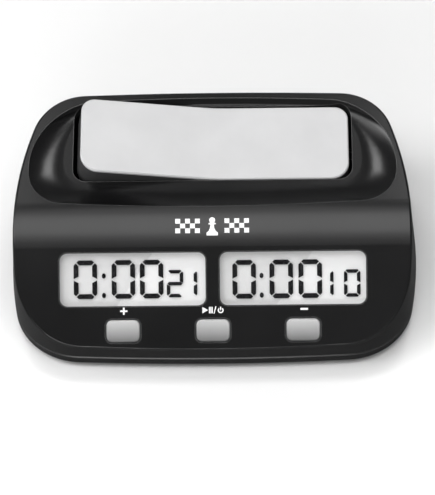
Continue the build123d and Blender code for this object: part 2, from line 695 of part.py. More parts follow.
def display_layers(x):
    """Glass, reflector and contact strip of one display."""
    low, high = GLASS_LIMITS
    half = GLASS_WIDTH / 2
    glass_top = FRAME_TOP - FRAME_LIP
    glass_bottom = glass_top - GLASS_THICKNESS
    place = panel * Pos(x, 0, 0)
    glass = block((-half, half), (low, high), (glass_bottom, glass_top))
    reflector = block((-half, half), (low + ZEBRA_WIDTH, high),
                      (glass_bottom - REFLECTOR_THICKNESS, glass_bottom))
    zebra = block((-half + ZEBRA_MARGIN, half - ZEBRA_MARGIN), (low, low + ZEBRA_WIDTH),
                  (PCB_TOP, glass_bottom))
    return [place * layer for layer in (glass, reflector, zebra)]


def key_cap(x):
    """Key with its flange and the boss that presses the switch."""
    cap = slab(KEY_SIZE, KEY_CORNER, (FLANGE_TOP, KEY_PROUD))
    cap = chamfer(cap.faces().sort_by(Axis.Z)[-1].outer_wire().edges(), KEY_BEVEL)
    flange = [side + 2 * FLANGE_MARGIN for side in KEY_SIZE]
    cap += slab(flange, KEY_CORNER, (FLANGE_TOP - FLANGE_THICKNESS, FLANGE_TOP))
    cap += rod(STEM_BOSS_RADIUS, (STEM_TOP + SLIDE_GAP, FLANGE_TOP))
    return panel * Pos(x, KEY_W, 0) * cap


def key_switch(x):
    """Tact switch body on the board with a well for its stem."""
    half = KEY_SWITCH_SIZE / 2
    body = block((-half, half), (-half, half), (PCB_TOP, KEY_SWITCH_TOP))
    well_bottom = stem_bottom() - KEY_TRAVEL - SLIDE_GAP
    body -= rod(STEM_RADIUS + 2 * PIN_CLEARANCE, (well_bottom, KEY_SWITCH_TOP))
    return panel * Pos(x, KEY_W, 0) * body


def stem_bottom():
    """Depth of the foot of a tact switch's stem at rest."""
    return KEY_SWITCH_TOP - KEY_TRAVEL


def key_plunger(x):
    """Stem of one tact switch."""
    return panel * Pos(x, KEY_W, 0) * rod(STEM_RADIUS, (stem_bottom(), STEM_TOP))


def main_pcb():
    """Circuit board behind the panel."""
    low, high = PCB_LIMITS
    board = Pos(0, (low + high) / 2, 0) * slab((2 * PCB_HALF_WIDTH, high - low), PCB_CORNER,
                                               (PCB_TOP - PCB_THICKNESS, PCB_TOP))
    for x, w in PCB_SCREWS:
        board -= Pos(x, w, PCB_TOP - PCB_THICKNESS) * rod(SMALL_SCREW_RADIUS, (0, PCB_THICKNESS))
    return panel * board


def mcu_blob():
    """Epoxy cap over the processor, on the back of the board."""
    ball_radius = (BLOB_RADIUS**2 + BLOB_HEIGHT**2) / (2 * BLOB_HEIGHT)
    dome = Pos(0, 0, ball_radius - BLOB_HEIGHT) * Sphere(ball_radius)
    dome &= rod(2 * BLOB_RADIUS, (-BLOB_HEIGHT, 0))
    return panel * Pos(0, BLOB_W, board_back()) * dome


def board_back():
    """Depth of the board's rear face."""
    return PCB_TOP - PCB_THICKNESS


def crystal():
    """Timing crystal can lying on the board."""
    can = Rot(0, 90, 0) * Cylinder(CAN_RADIUS, CAN_LENGTH)
    return panel * Pos(*CAN_PLACE, board_back() - CAN_RADIUS) * can


def capacitor():
    """Electrolytic capacitor standing off the board."""
    return panel * Pos(*CAPACITOR_PLACE, board_back()) * rod(CAPACITOR_RADIUS, (-CAPACITOR_HEIGHT, 0))


def smd_parts():
    """Row of chip resistors and capacitors."""
    half_length, half_width = CHIP_HALF
    one = block((-half_length, half_length), (-half_width, half_width), (-CHIP_HEIGHT, 0))
    return [panel * Pos(x, w, board_back()) * one for x in CHIP_X for w in CHIP_W]


def battery_cell():
    """Single AA cell lying along the case, with its nub to the right."""
    can_length = CELL_LENGTH - CELL_NUB[1]
    can = Cylinder(CELL_RADIUS, can_length)
    can = fillet(can.edges().filter_by(GeomType.CIRCLE), CELL_ROUND)
    nub = Pos(0, 0, can_length / 2) * rod(CELL_NUB[0], (0, CELL_NUB[1]))
    middle = BAY_HALF_LENGTH - CONTACT_THICKNESS - CELL_NUB[1] - can_length / 2
    return Pos(middle, BAY_Y, CELL_Z) * Rot(0, 90, 0) * (can + nub)


def contact(side):
    """Flat spring-steel contact against one end wall, with a solder tab through the bay's roof."""
    inner = BAY_HALF_LENGTH - CONTACT_THICKNESS
    x_limits = sorted((side * inner, side * BAY_HALF_LENGTH))
    plate = block(x_limits, (BAY_Y - CONTACT_HALF, BAY_Y + CONTACT_HALF),
                  (CELL_Z - CONTACT_HALF, CELL_Z + CONTACT_HALF))
    return plate + block(x_limits, (BAY_Y - TAB_HALF, BAY_Y + TAB_HALF), (CELL_Z, TAB_TOP))


def contact_spring():
    """Negative contact with its conical coil spring."""
    start = -BAY_HALF_LENGTH + CONTACT_THICKNESS
    cell_end = BAY_HALF_LENGTH - CONTACT_THICKNESS - CELL_LENGTH
    length = cell_end - start - 2 * SPRING_WIRE
    steps = SPRING_TURNS * SPRING_CORNERS
    points = []
    for step in range(steps + 1):
        share = step / steps
        angle = 2 * pi * step / SPRING_CORNERS
        radius = CONTACT_HALF - SPRING_WIRE - SPRING_NARROWING * share
        points.append(Vector(start + SPRING_WIRE + length * share, BAY_Y + radius * cos(angle),
                             CELL_Z + radius * sin(angle)))
    return [contact(-1), round_wire(points, SPRING_WIRE)]


def battery_door():
    """Door below the battery, with a half-round hinge edge, two stub pins and a finger notch."""
    y, z = hinge_place()
    half = BAY_HALF_LENGTH - DOOR_GAP
    far = BAY_Y + CELL_RADIUS + CELL_GAP - DOOR_GAP
    door = block((-half, half), (y, far), (FOOT_HEIGHT, FOOT_HEIGHT + FLOOR))
    door += Pos(0, y, z) * Rot(0, 90, 0) * Cylinder(HINGE_RADIUS, 2 * half)
    door += Pos(0, y, z) * Rot(0, 90, 0) * Cylinder(HINGE_PIN_RADIUS, 2 * (half + HINGE_PIN_LENGTH))
    return door - Pos(0, far, FOOT_HEIGHT) * Cylinder(NOTCH_RADIUS, 2 * NOTCH_DEPTH)


def foot(x, y):
    """Rubber foot sunk a little into the case bottom."""
    pad = rod(FOOT_RADIUS, (0, FOOT_HEIGHT + FOOT_SINK))
    return Pos(x, y, 0) * chamfer(pad.faces().sort_by(Axis.Z)[0].edges(), FOOT_BEVEL)


def piezo_disc():
    """Brass disc of the beeper."""
    return Pos(*PIEZO_PLACE, 0) * rod(PIEZO_RADIUS, (PIEZO_SEAT_Z, PIEZO_SEAT_Z + PIEZO_THICKNESS))


def piezo_ceramic():
    """Ceramic layer on the beeper disc."""
    top = PIEZO_SEAT_Z + PIEZO_THICKNESS
    return Pos(*PIEZO_PLACE, 0) * rod(CERAMIC_RADIUS, (top, top + CERAMIC_THICKNESS))


def round_wire(places, wire_radius):
    """Round wire along straight runs joined by arcs."""
    radii = []
    for before, here, after in zip(places, places[1:], places[2:]):
        turn = radians((here - before).get_angle(after - here))
        radii.append(BEND_SHARE * min((here - before).length, (after - here).length) / tan(turn / 2))
    path = FilletPolyline(*places, radius=radii)
    return sweep(Plane(path @ 0, z_dir=path % 0) * Circle(wire_radius), path=path)


def lead(*points):
    """Insulated wire through the given points."""
    return round_wire([Vector(*point) for point in points], LEAD_RADIUS)


def on_panel(x, w, n):
    """World position of a place given along, up and out from the panel."""
    return (panel * Pos(x, w, n)).position


def on_seat(x, s, n):
    """World position of a place given from the centre of the dish floor."""
    return (rocker_seat * Pos(x, s, n)).position


def board_end(x, w):
    """Last two points of a wire that meets the back of the board squarely."""
    return on_panel(x, w, board_back() - BOARD_STUB), on_panel(x, w, board_back())


def battery_lead(side):
    """Wire from a battery contact tab to the board."""
    x = side * (BAY_HALF_LENGTH - CONTACT_THICKNESS / 2)
    return lead((x, BAY_Y, TAB_TOP), (x, BAY_Y, TAB_TOP + CONTACT_STUB), *board_end(x, BATTERY_LEAD_W))


def switch_leads():
    """Wires from the micro switches to the board."""
    start = -SWITCH_SIZE[1] / 2 - TERMINAL_LENGTH
    return [lead(on_seat(x, start, LEAD_DEPTH), on_seat(x, start - SWITCH_LEAD_RUN, LEAD_DEPTH),
                 *board_end(x, SWITCH_LEAD_W)) for x in (-PUSHER_X, PUSHER_X)]


def buzzer_leads():
    """Wires from the beeper to the board."""
    x, y = PIEZO_PLACE
    z = PIEZO_SEAT_Z + PIEZO_THICKNESS + LEAD_RADIUS
    near, far = BUZZER_LEAD_RUN
    places = (x - BUZZER_LEAD_HALF_GAP, x + BUZZER_LEAD_HALF_GAP)
    return [lead((place, y - CERAMIC_RADIUS - near, z), (place, y - far, z + BUZZER_LEAD_RISE),
                 *board_end(place, BUZZER_LEAD_W)) for place in places]


def write(name, shape):
    """Save one sub-part, or a group of identical loose solids, as its own file."""
    if isinstance(shape, list):
        shape = Compound(children=shape)
    export_step(shape, os.path.join("parts", name + ".step"))


def main():
    """Build every sub-part."""
    os.makedirs("parts", exist_ok=True)
    single = (upper_shell, lower_shell, rocker_body, rocker_plate, pivot_pin, switch_carrier,
              carrier_screws, case_screws, pcb_screws, detent_spring, main_pcb, mcu_blob, crystal,
              capacitor, smd_parts, battery_cell, contact_spring, battery_door, piezo_disc,
              piezo_ceramic, switch_leads, buzzer_leads)
    for build in single:
        write(build.__name__, build())
    write("contact_plate", contact(1))
    write("battery_lead_red", battery_lead(1))
    write("battery_lead_black", battery_lead(-1))
    for side, word in ((-1, "left"), (1, "right")):
        write("micro_switch_" + word, micro_switch(side))
        write("switch_plunger_" + word, switch_plunger(side))
        write("lens_" + word, lens(side * WINDOW_X))
        write("lcd_frame_" + word, display_frame(side * WINDOW_X))
        layers = zip(("lcd_glass_", "lcd_reflector_", "zebra_strip_"), display_layers(side * WINDOW_X))
        for name, layer in layers:
            write(name + word, layer)
        for row, (x, y) in FEET.items():
            write("foot_" + row + "_" + word, foot(side * x, y))
    for x, word in zip(KEY_X, KEY_NAMES):
        write("key_cap_" + word, key_cap(x))
        write("key_switch_" + word, key_switch(x))
        write("key_plunger_" + word, key_plunger(x))


main()
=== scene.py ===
"""Looks of the digital chess clock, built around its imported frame."""
import json
import math

import bmesh
import bpy
from mathutils import Matrix, Vector


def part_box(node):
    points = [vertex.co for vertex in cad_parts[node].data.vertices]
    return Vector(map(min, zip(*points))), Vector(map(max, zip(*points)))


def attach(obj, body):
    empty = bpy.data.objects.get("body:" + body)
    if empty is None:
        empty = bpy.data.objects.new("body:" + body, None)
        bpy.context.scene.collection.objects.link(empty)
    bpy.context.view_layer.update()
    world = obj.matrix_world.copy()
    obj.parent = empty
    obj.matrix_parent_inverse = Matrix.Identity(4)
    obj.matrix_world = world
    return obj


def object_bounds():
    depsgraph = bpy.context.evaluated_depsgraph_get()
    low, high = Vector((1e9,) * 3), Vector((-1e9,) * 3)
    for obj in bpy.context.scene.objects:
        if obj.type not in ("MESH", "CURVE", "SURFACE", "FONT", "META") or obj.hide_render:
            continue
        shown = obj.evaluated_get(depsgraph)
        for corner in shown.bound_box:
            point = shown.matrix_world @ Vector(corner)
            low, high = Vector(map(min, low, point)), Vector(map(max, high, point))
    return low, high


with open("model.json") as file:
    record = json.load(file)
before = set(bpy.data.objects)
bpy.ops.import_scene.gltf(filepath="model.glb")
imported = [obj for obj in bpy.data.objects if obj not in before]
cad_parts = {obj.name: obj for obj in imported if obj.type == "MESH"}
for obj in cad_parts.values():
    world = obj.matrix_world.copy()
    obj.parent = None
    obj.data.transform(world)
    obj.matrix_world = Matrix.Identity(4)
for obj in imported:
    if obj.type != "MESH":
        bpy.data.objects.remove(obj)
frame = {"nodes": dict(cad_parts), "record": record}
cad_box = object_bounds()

MM = 0.001

# Camera: angles in degrees, distance in metres, sensor in millimetres
CAMERA_ELEVATION = 55.0
CAMERA_AZIMUTH = 2.2
CAMERA_ROLL = -2.4
CAMERA_DISTANCE = 1.0
SENSOR_WIDTH = 36.0

# Width of the view at the clock, and how far its middle lies across and up from the clock's
VIEW_WIDTH = 157.6 * MM
VIEW_SHIFT = (1.17 * MM, -9.88 * MM)

# Lamps: name, place, target, width and length in metres, power in watts
LAMPS = (
    ("overhead", (-0.75, -0.17, 1.1), (-0.75, 0, 0.03), (2.4, 0.46), 7.6),
    ("overhead_wide", (-0.75, -0.20, 1.12), (-0.75, 0, 0.03), (2.4, 0.80), 10.0),
    ("left_fill", (-1.3, 0.1, 0.8), (0, 0, 0.03), (0.5, 0.8), 5.0),
    ("back_left", (-0.33, 0.48, 1.1), (0, 0, 0.03), (0.24, 0.24), 1.6),
    ("back_right", (0.27, 0.47, 1.1), (0, 0, 0.03), (0.24, 0.24), 1.6),
    ("front_fill", (-0.3, -1.4, 0.75), (0, 0, 0.03), (0.9, 0.4), 6.0),
)
SURROUND_STRENGTH = 0.22

# Floor, in metres: it runs from in front of the clock to behind it and bends up into a backdrop
FLOOR_HALF_WIDTH = 4.0
FLOOR_FRONT = -3.0
FLOOR_BACK = 1.8
BACKDROP_BEND = 1.0
BACKDROP_TOP = 3.0
BEND_STEPS = 24
FLOOR_SHADE = 0.97
FLOOR_IOR = 3.0
FLOOR_ROUGHNESS = (0.10, 0.14)

# Panel: slopes in degrees, lengths in millimetres up from the panel's lower edge
PANEL_SLOPE = 35.0
TOP_SLOPE = 8.0
PANEL_LENGTH = 46.3
RIDGE_RADIUS = 36.0
KEY_MIDDLE = 7.75
KEY_HALF_HEIGHT = 3.9

# Middle of the window lenses, up and out from the panel's lower edge
LENS_MIDDLE = (26.15, -1.55)

# Bottom and top of the printed marks, out from the surface in millimetres
PRINT_LEVELS = (0.01, 0.03)

# Signs above the keys, in millimetres: places across and up, half widths and half heights
MARK_HEIGHT = 15.0
PLUS_PLACE = (-31.8, MARK_HEIGHT - 0.1)
PLUS_SIZE = (1.3, 0.31)
MINUS_PLACE = (32.5, MARK_HEIGHT + 0.1)
MINUS_SIZE = (1.35, 0.36)
PLAY_SPAN = (-3.75, -1.75)
PLAY_HALF_HEIGHT = 1.15
PAUSE_PLACES = (-1.25, -0.75, -0.25)
THIN_LINE = 0.19
SLASH_X = 0.7
SLASH_SIZE = (0.17, 1.3)
SLASH_LEAN = 0.35
POWER_X = 2.75
POWER_RING = (0.62, 1.05)
POWER_RING_TURN = (125, 415)
POWER_LINE_RISE = 0.55
POWER_LINE_HALF = 0.62
RING_STEPS = 28

# Emblem on the ridge, in millimetres
EMBLEM_BASE = 41.6
PAWN_HEIGHT = 7.0
CHEQUER = 1.75
CHEQUER_COLUMNS = 5
CHEQUER_ROWS = 3
CHEQUER_START = 4.4
CHEQUER_RISE = 0.9

# Pawn in tenths of its height: head's middle, radius and first angle, then its left side
PAWN_HEAD_MIDDLE = 7.9
PAWN_HEAD_RADIUS = 1.55
PAWN_NECK_ANGLE = -52
PAWN_HEAD_STEPS = 18
PAWN_SIDE = ((-1.9, 6.35), (-1.9, 5.75), (-0.9, 5.6), (-1.1, 3.9), (-1.75, 2.4), (-2.5, 1.75),
             (-2.9, 1.5), (-2.9, 0.0))

# Display figures, in millimetres; their levels are measured out from the panel
LARGE_DIGIT = {"width": 8.4, "height": 13.8, "stroke": 1.75, "gap": 0.4, "corner": 1.5}
SMALL_DIGIT = {"width": 5.9, "height": 9.8, "stroke": 1.25, "gap": 0.3, "corner": 0.8}
SMALL_DIGIT_RISE = 0.3
FIGURE_LEVELS = (-3.03, -3.0)
DOT_SIZE = (0.72, 0.95)
DOT_RISES = (1.2, 8.2)
DOT_STEPS = 20

# Each display: how far up its figures stand, and the places of the figures and of the colon
DISPLAYS = (
    {"side": "left", "base": 19.3, "colon": -39.0,
     "large": (("0", -49.8), ("0", -36.2), ("0", -26.1)), "small": (("2", -16.5), ("1", -11.5))},
    {"side": "right", "base": 18.9, "colon": 17.4,
     "large": (("0", 7.0), ("0", 20.25), ("0", 30.6)), "small": (("1", 37.2), ("0", 46.8))},
)

# Which of the seven strokes each figure lights, from the top one clockwise with the middle last
STROKES = {"0": "abcdef", "1": "bc", "2": "abged"}

# Width in metres of the painted highlight lines along edges, and their brightness
EDGE_HIGHLIGHT_WIDTH = 0.0004
EDGE_HIGHLIGHT_BRIGHTNESS = 0.10

# Extra roughness of the upright walls
WALL_DULLNESS = 0.7

# Painted shade on the keys: how dark the lower edge of a key is, as a share of its upper edge
KEY_PAINTED_SHADE = 0.22

# Painted glow of the film, which stands for light that it scatters back from its whole area
FILM_PAINTED_GLOW = 0.17

# Where the film's darker zone ends and its painted reflection begins: share of its width, and how
# far that leans from bottom to top
FILM_PAINTED_REFLECTION_EDGE = (0.376, 0.388)
FILM_PAINTED_REFLECTION_LEAN = -0.266

# Gap in metres left between the display glass and the film glued below it
GLUE_LINE = 0.00003

# Share of the cell's length where its copper-coloured band starts
CELL_BAND = 0.72

# Moulded plastics: darker colour, lighter colour and range of roughness
PLASTICS = {
    "rocker_black": ((0.048, 0.048, 0.049), (0.056, 0.056, 0.057), (0.42, 0.50)),
    "display_frame": ((0.50, 0.50, 0.50), (0.56, 0.56, 0.56), (0.5, 0.6)),
    "component": ((0.02, 0.02, 0.03), (0.05, 0.05, 0.06), (0.25, 0.35)),
    "switch_black": ((0.012, 0.012, 0.012), (0.02, 0.02, 0.02), (0.4, 0.5)),
    "plunger": ((0.42, 0.05, 0.03), (0.50, 0.07, 0.04), (0.35, 0.45)),
    "ceramic": ((0.70, 0.69, 0.64), (0.78, 0.77, 0.73), (0.5, 0.65)),
    "lead_red": ((0.38, 0.015, 0.01), (0.46, 0.02, 0.015), (0.35, 0.45)),
    "lead_black": ((0.010, 0.010, 0.010), (0.016, 0.016, 0.016), (0.35, 0.45)),
}

# Metals: darker colour, lighter colour, range of roughness and stretch of the marks
METALS = {
    "steel": ((0.50, 0.50, 0.51), (0.62, 0.62, 0.63), (0.2, 0.34), (1, 1, 8)),
    "screw_steel": ((0.42, 0.42, 0.44), (0.56, 0.56, 0.58), (0.26, 0.42), (1, 1, 1)),
    "brass": ((0.60, 0.40, 0.14), (0.76, 0.55, 0.22), (0.18, 0.3), (1, 12, 1)),
}


def principled(name, colour, roughness):
    """New material with one Principled shader and its constant colour and roughness."""
    material = bpy.data.materials.new(name)
    material.use_nodes = True
    shader = material.node_tree.nodes["Principled BSDF"]
    shader.inputs["Base Color"].default_value = (*colour, 1)
    shader.inputs["Roughness"].default_value = roughness
    return material, material.node_tree, shader


def feed(tree, value, socket):
    """Link an input to another node's output, or give it a constant."""
    if isinstance(value, bpy.types.NodeSocket):
        tree.links.new(value, socket)
    else:
        socket.default_value = value


def source_of(socket):
    """The output that a linked input reads."""
    return socket.links[0].from_socket


def coordinates(tree, kind):
    """Texture coordinates of one kind."""
    return tree.nodes.new("ShaderNodeTexCoord").outputs[kind]


def surface_normal(tree):
    """The direction in which the surface faces."""
    return tree.nodes.new("ShaderNodeNewGeometry").outputs["Normal"]


def split_vector(tree, vector):
    """The X, Y and Z outputs of a vector."""
    split = tree.nodes.new("ShaderNodeSeparateXYZ")
    tree.links.new(vector, split.inputs["Vector"])
    return split.outputs


def calculate(tree, operation, *values):
    """Result of one operation on numbers."""
    maths = tree.nodes.new("ShaderNodeMath")
    maths.operation = operation
    for value, socket in zip(values, maths.inputs):
        feed(tree, value, socket)
    return maths.outputs["Value"]


def dot_product(tree, first, second):
    """Dot product of two vectors."""
    product = tree.nodes.new("ShaderNodeVectorMath")
    product.operation = "DOT_PRODUCT"
    feed(tree, first, product.inputs[0])
    feed(tree, second, product.inputs[1])
    return product.outputs["Value"]


def rescale(tree, value, old_range, new_range):
    """A number moved from one range to another and kept inside it."""
    spread = tree.nodes.new("ShaderNodeMapRange")
    spread.inputs["From Min"].default_value = old_range[0]
    spread.inputs["From Max"].default_value = old_range[1]
    spread.inputs["To Min"].default_value = new_range[0]
    spread.inputs["To Max"].default_value = new_range[1]
    tree.links.new(value, spread.inputs["Value"])
    return spread.outputs["Result"]


def colour_ramp(tree, value, places, colours, interpolation="LINEAR"):
    """Colour that changes from one to another between two places."""
    ramp = tree.nodes.new("ShaderNodeValToRGB")
    ramp.color_ramp.interpolation = interpolation
    for i in range(2):
        ramp.color_ramp.elements[i].position = places[i]
        ramp.color_ramp.elements[i].color = (*colours[i], 1)
    tree.links.new(value, ramp.inputs["Fac"])
    return ramp.outputs["Color"]


def mix_colours(tree, share, first, second, blend="MIX"):
    """Two colours mixed by a share."""
    mix = tree.nodes.new("ShaderNodeMix")
    mix.data_type = "RGBA"
    mix.blend_type = blend
    feed(tree, share, mix.inputs["Factor"])
    feed(tree, first, mix.inputs[6])
    feed(tree, second, mix.inputs[7])
    return mix.outputs[2]


def noise(tree, scale, detail=3.0, stretch=(1, 1, 1)):
    """Noise texture in the object's own metres."""
    mapping = tree.nodes.new("ShaderNodeMapping")
    mapping.inputs["Scale"].default_value = stretch
    texture = tree.nodes.new("ShaderNodeTexNoise")
    texture.inputs["Scale"].default_value = scale
    texture.inputs["Detail"].default_value = detail
    tree.links.new(coordinates(tree, "Object"), mapping.inputs["Vector"])
    tree.links.new(mapping.outputs["Vector"], texture.inputs["Vector"])
    return texture


def vary_roughness(tree, shader, source, low, high):
    """Let a texture move the roughness between two values."""
    spread = rescale(tree, source.outputs["Fac"], (0.3, 0.7), (low, high))
    tree.links.new(spread, shader.inputs["Roughness"])


def vary_colour(tree, shader, source, dark, light):
    """Let a texture move the colour between two shades."""
    shade = colour_ramp(tree, source.outputs["Fac"], (0.35, 0.65), (dark, light))
    tree.links.new(shade, shader.inputs["Base Color"])


def add_bump(tree, shader, source, strength, height):
    """Raise the surface a little where the texture is bright; height is in metres."""
    bump = tree.nodes.new("ShaderNodeBump")
    bump.inputs["Strength"].default_value = strength
    bump.inputs["Distance"].default_value = height
    tree.links.new(source.outputs["Fac"], bump.inputs["Height"])
    tree.links.new(bump.outputs["Normal"], shader.inputs["Normal"])


def plastic(name, dark, light, rough, grain_scale=2600.0, grain=0.12):
    """Moulded plastic: fine spark-eroded grain, slow drift in gloss and faintly mottled colour."""
    material, tree, shader = principled(name, light, rough[0])
    vary_roughness(tree, shader, noise(tree, 24.0, 4.0), *rough)
    vary_colour(tree, shader, noise(tree, 72.0, 5.0), dark, light)
    add_bump(tree, shader, noise(tree, grain_scale, 2.0), grain, 0.00002)
    return material


def case_plastic():
    """Satin black plastic of the case, with painted highlights along its edges and duller walls."""
    material = plastic("case_black", (0.0022, 0.0022, 0.0024), (0.0034, 0.0034, 0.0036),
                       (0.19, 0.24), grain=0.06)
    tree = material.node_tree
    shader = tree.nodes["Principled BSDF"]
    shader.inputs["IOR"].default_value = 1.4
    paint_edge_highlights(tree, shader)
    dull_walls(tree, shader)
    return material


def paint_edge_highlights(tree, shader):
    """Painted highlight: lighten narrow lines along sharp edges, as if light caught them."""
    rounded = tree.nodes.new("ShaderNodeBevel")
    rounded.samples = 6
    rounded.inputs["Radius"].default_value = EDGE_HIGHLIGHT_WIDTH
    match = dot_product(tree, rounded.outputs["Normal"], surface_normal(tree))
    share = rescale(tree, match, (0.998, 0.96), (0.0, 1.0))
    # Painted highlight: the base colour turns light grey along the edges.
    highlight_colour = (EDGE_HIGHLIGHT_BRIGHTNESS, EDGE_HIGHLIGHT_BRIGHTNESS, EDGE_HIGHLIGHT_BRIGHTNESS, 1)
    highlighted_colour = mix_colours(tree, share, source_of(shader.inputs["Base Color"]), highlight_colour)
    tree.links.new(highlighted_colour, shader.inputs["Base Color"])


def dull_walls(tree, shader):
    """Make surfaces that face sideways duller than those that face up."""
    rise = split_vector(tree, surface_normal(tree))["Z"]
    extra = rescale(tree, rise, (0.6, 0.3), (0.0, WALL_DULLNESS))
    total = calculate(tree, "ADD", source_of(shader.inputs["Roughness"]), extra)
    tree.links.new(total, shader.inputs["Roughness"])


def key_plastic():
    """Grey key plastic, with painted shade that gets darker towards the lower edge of each key."""
    material = plastic("key_grey", (0.48, 0.48, 0.48), (0.52, 0.52, 0.52), (0.38, 0.46), grain=0.1)
    tree = material.node_tree
    shader = tree.nodes["Principled BSDF"]
    up = panel_axes()[1]
    height = dot_product(tree, coordinates(tree, "Object"), up)
    middle = panel_point(0, KEY_MIDDLE, 0).dot(up)
    edges = (middle - KEY_HALF_HEIGHT * MM, middle + KEY_HALF_HEIGHT * MM)
    # Painted shade: the colour is darker towards the key's lower edge.
    shade = rescale(tree, height, edges, (KEY_PAINTED_SHADE, 1.0))
    tint_and_painted_shade = mix_colours(tree, 1.0, source_of(shader.inputs["Base Color"]), shade, "MULTIPLY")
    tree.links.new(tint_and_painted_shade, shader.inputs["Base Color"])
    return material


def metal(name, dark, light, rough, stretch):
    """Bare metal with fine marks drawn out along one direction."""
    material, tree, shader = principled(name, light, rough[0])
    shader.inputs["Metallic"].default_value = 1.0
    marks = noise(tree, 900.0, 4.0, stretch)
    vary_roughness(tree, shader, marks, *rough)
    vary_colour(tree, shader, noise(tree, 60.0, 4.0), dark, light)
    add_bump(tree, shader, marks, 0.1, 0.00001)
    return material


def rubber(name, dark, light):
    """Matt rubber with a mottled, dusty surface."""
    material, tree, shader = principled(name, light, 0.8)
    vary_roughness(tree, shader, noise(tree, 180.0, 5.0), 0.68, 0.9)
    vary_colour(tree, shader, noise(tree, 320.0, 6.0), dark, light)
    add_bump(tree, shader, noise(tree, 1800.0, 3.0), 0.3, 0.00004)
    return material


def clear_pane(name, tint_and_painted_shade, face_on, gloss):
    """Clear sheet: see-through, covered only as far as its face reflects, with faint smudges."""
    material, tree, shader = principled(name, tint_and_painted_shade, gloss)
    shader.inputs["Metallic"].default_value = 1.0
    view = tree.nodes.new("ShaderNodeLayerWeight")
    view.inputs["Blend"].default_value = 0.5
    steep = calculate(tree, "POWER", view.outputs["Facing"], 5.0)
    mirror = rescale(tree, steep, (0.0, 1.0), (face_on, 1.0))
    tree.links.new(mirror, shader.inputs["Alpha"])
    vary_roughness(tree, shader, noise(tree, 160.0, 5.0), gloss, gloss * 2.5)
    return material


def reflector_film():
    """Silvered film behind the liquid crystal: fine speckle, a painted reflection as a lighter zone
    to the right, and a painted glow.
    """
    material, tree, shader = principled("reflector_film", (0.7, 0.7, 0.7), 0.5)
    place = split_vector(tree, coordinates(tree, "Generated"))
    # Painted reflection: the film is lighter to the right of a leaning line.
    across = calculate(tree, "MULTIPLY_ADD", place["Z"], FILM_PAINTED_REFLECTION_LEAN, place["X"])
    painted_reflection_zone = colour_ramp(tree, across, FILM_PAINTED_REFLECTION_EDGE, ((0.74, 0.74, 0.74), (0.88, 0.88, 0.88)))
    grain = noise(tree, 3000.0, 3.0).outputs["Color"]
    speckle_and_painted_reflection = mix_colours(tree, 0.08, painted_reflection_zone, grain, "MULTIPLY")
    tree.links.new(speckle_and_painted_reflection, shader.inputs["Base Color"])
    # Painted glow: the film gives off light in its own colour, though it is no lamp.
    tree.links.new(speckle_and_painted_reflection, shader.inputs["Emission Color"])
    shader.inputs["Emission Strength"].default_value = FILM_PAINTED_GLOW
    vary_roughness(tree, shader, noise(tree, 2400.0), 0.42, 0.6)
    return material


def ink(name, dark, light, rough, gloss=0.5):
    """Printed ink with a slightly uneven coat."""
    material, tree, shader = principled(name, light, rough)
    shader.inputs["Specular IOR Level"].default_value = gloss
    vary_colour(tree, shader, noise(tree, 1500.0, 4.0), dark, light)
    vary_roughness(tree, shader, noise(tree, 700.0), rough * 0.85, rough * 1.1)
    return material


def circuit_board():
    """Green solder resist with a faint pattern of copper tracks showing through."""
    material, tree, shader = principled("circuit_board", (0.02, 0.12, 0.05), 0.3)
    tracks = tree.nodes.new("ShaderNodeTexBrick")
    tracks.inputs["Scale"].default_value = 160.0
    tracks.inputs["Mortar Size"].default_value = 0.03
    tracks.inputs["Color1"].default_value = (0.012, 0.085, 0.035, 1)
    tracks.inputs["Color2"].default_value = (0.016, 0.100, 0.042, 1)
    tracks.inputs["Mortar"].default_value = (0.045, 0.190, 0.075, 1)
    tree.links.new(coordinates(tree, "Object"), tracks.inputs["Vector"])
    tree.links.new(tracks.outputs["Color"], shader.inputs["Base Color"])
    add_bump(tree, shader, tracks, 0.3, 0.00002)
    vary_roughness(tree, shader, noise(tree, 90.0), 0.24, 0.36)
    return material


def battery_wrap():
    """Printed steel can: a dark sleeve with a copper-coloured band at its positive end."""
    material, tree, shader = principled("battery_wrap", (0.02, 0.025, 0.035), 0.3)
    shader.inputs["Metallic"].default_value = 0.6
    along = split_vector(tree, coordinates(tree, "Generated"))["X"]
    band = colour_ramp(tree, along, (0.0, CELL_BAND), ((0.018, 0.022, 0.03), (0.55, 0.27, 0.12)),
                       "CONSTANT")
    tree.links.new(band, shader.inputs["Base Color"])
    vary_roughness(tree, shader, noise(tree, 80.0), 0.25, 0.38)
    add_bump(tree, shader, noise(tree, 1200.0), 0.05, 0.00001)
    return material


def make_materials():
    """Every material of the object, by the record's slot name."""
    return {
        "case_black": case_plastic(),
        "rocker_grey": plastic("rocker_grey", (0.51, 0.51, 0.515), (0.54, 0.54, 0.545),
                               (0.36, 0.42), grain=0.06),
        "key_grey": key_plastic(),
        "epoxy": plastic("epoxy", (0.006, 0.006, 0.006), (0.010, 0.010, 0.010), (0.12, 0.2),
                         300.0, 0.2),
        "window_clear": clear_pane("window_clear", (0.96, 0.98, 1.0), 0.006, 0.04),
        "display_glass": clear_pane("display_glass", (0.90, 0.94, 0.92), 0.003, 0.08),
        "reflector": reflector_film(),
        "contact_rubber": rubber("contact_rubber", (0.55, 0.22, 0.26), (0.68, 0.30, 0.34)),
        "foot_rubber": rubber("foot_rubber", (0.012, 0.012, 0.012), (0.022, 0.022, 0.022)),
        "board": circuit_board(),
        "cell": battery_wrap(),
        "white_ink": ink("white_ink", (0.80, 0.80, 0.80), (0.90, 0.90, 0.90), 0.5),
        "liquid_crystal": ink("liquid_crystal", (0.002, 0.002, 0.003), (0.004, 0.004, 0.005),
                              0.6, 0.15),
        **{name: plastic(name, *looks) for name, looks in PLASTICS.items()},
        **{name: metal(name, *looks) for name, looks in METALS.items()},
    }


